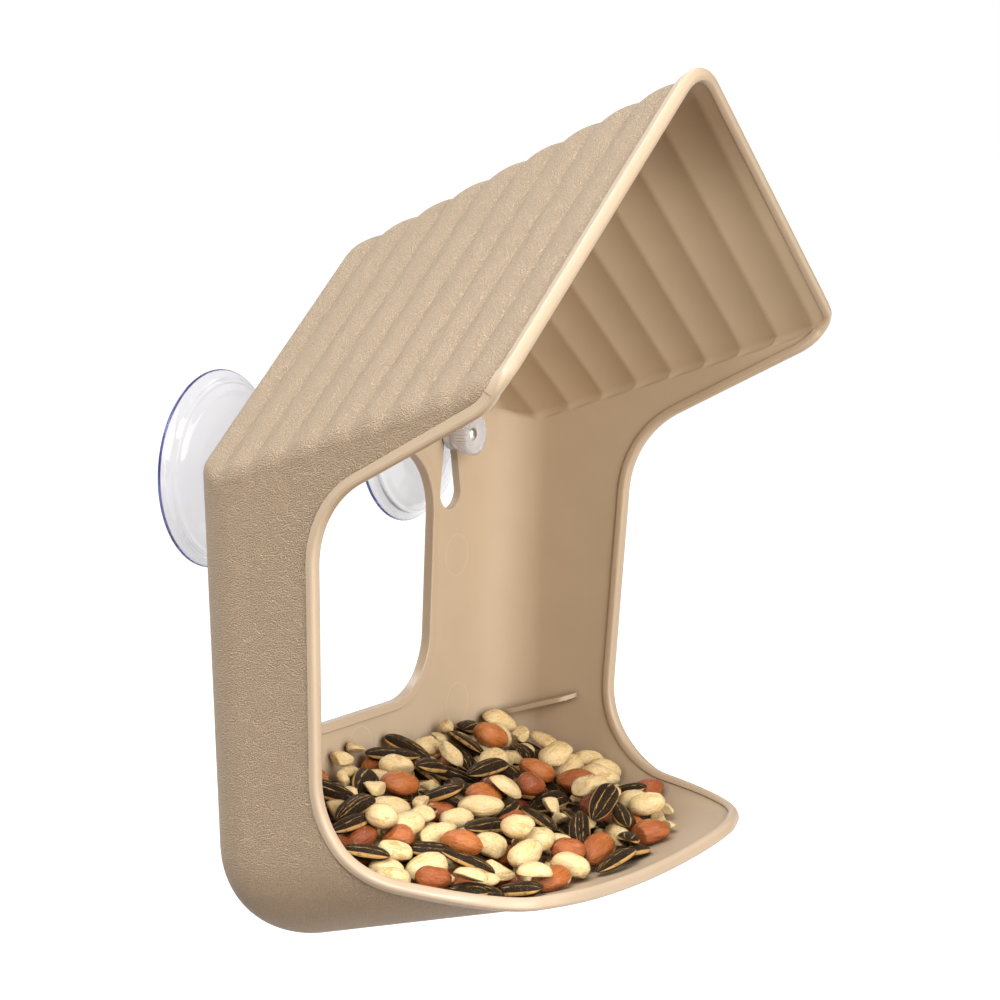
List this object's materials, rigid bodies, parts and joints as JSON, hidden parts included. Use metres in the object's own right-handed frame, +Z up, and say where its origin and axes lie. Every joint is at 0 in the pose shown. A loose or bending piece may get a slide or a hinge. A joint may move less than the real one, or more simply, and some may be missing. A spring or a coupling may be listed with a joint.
{
  "type": "window bird feeder",
  "caption": "House-shaped window bird feeder with a ribbed gable roof, open front and notched sides, hung on suction cups and filled with mixed seeds",
  "frame": {"origin": "on the window glass, midway between the two suction cups at the height of their centres", "axes": "+X to the right seen from the front, -Y out of the glass towards the open front, +Z up"},
  "size_m": [0.2076, 0.1367, 0.2622],
  "materials": {
    "beige_plastic": "fine leather grain outside, smooth bead round the openings",
    "clear_pvc": "clear, soft, glossy",
    "stud_metal": "plain thread",
    "clear_plastic": "clear, moulded",
    "mixed_seeds": "dry seeds and peanut kernels"
  },
  "bodies": {
    "cups": {"left_suction_cup": "clear_pvc", "right_suction_cup": "clear_pvc", "left_stud": "stud_metal", "right_stud": "stud_metal"},
    "feeder": {"feeder_body": "beige_plastic", "seed_heap": "mixed_seeds"},
    "left_clamp_washer": {"left_washer": "clear_plastic"},
    "right_clamp_washer": {"right_washer": "clear_plastic"},
    "left_thumb_nut": {"left_nut": "clear_plastic"},
    "right_thumb_nut": {"right_nut": "clear_plastic"}
  },
  "joints": [
    {"name": "feeder_lift", "type": "slide", "parent": "cups", "child": "feeder", "axis": [0, 0, 1], "range_m": [0, 0.0187]},
    {"name": "left_washer_slide", "type": "slide", "parent": "cups", "child": "left_clamp_washer", "axis": [0, -1, 0], "range_m": [0, 0.006]},
    {"name": "left_nut_spin", "type": "hinge", "parent": "left_clamp_washer", "child": "left_thumb_nut", "pos_m": [-0.0546, -0.0235, 0], "axis": [0, -1, 0], "range_deg": [0, 2700]},
    {"name": "right_washer_slide", "type": "slide", "parent": "cups", "child": "right_clamp_washer", "axis": [0, -1, 0], "range_m": [0, 0.006]},
    {"name": "right_nut_spin", "type": "hinge", "parent": "right_clamp_washer", "child": "right_thumb_nut", "pos_m": [0.0546, -0.0235, 0], "axis": [0, -1, 0], "range_deg": [0, 2700]}
  ],
  "couplings": [
    {"joint": "left_nut_spin", "follows": "left_washer_slide", "rad_per_m": 7854},
    {"joint": "right_nut_spin", "follows": "right_washer_slide", "rad_per_m": 7854}
  ]
}
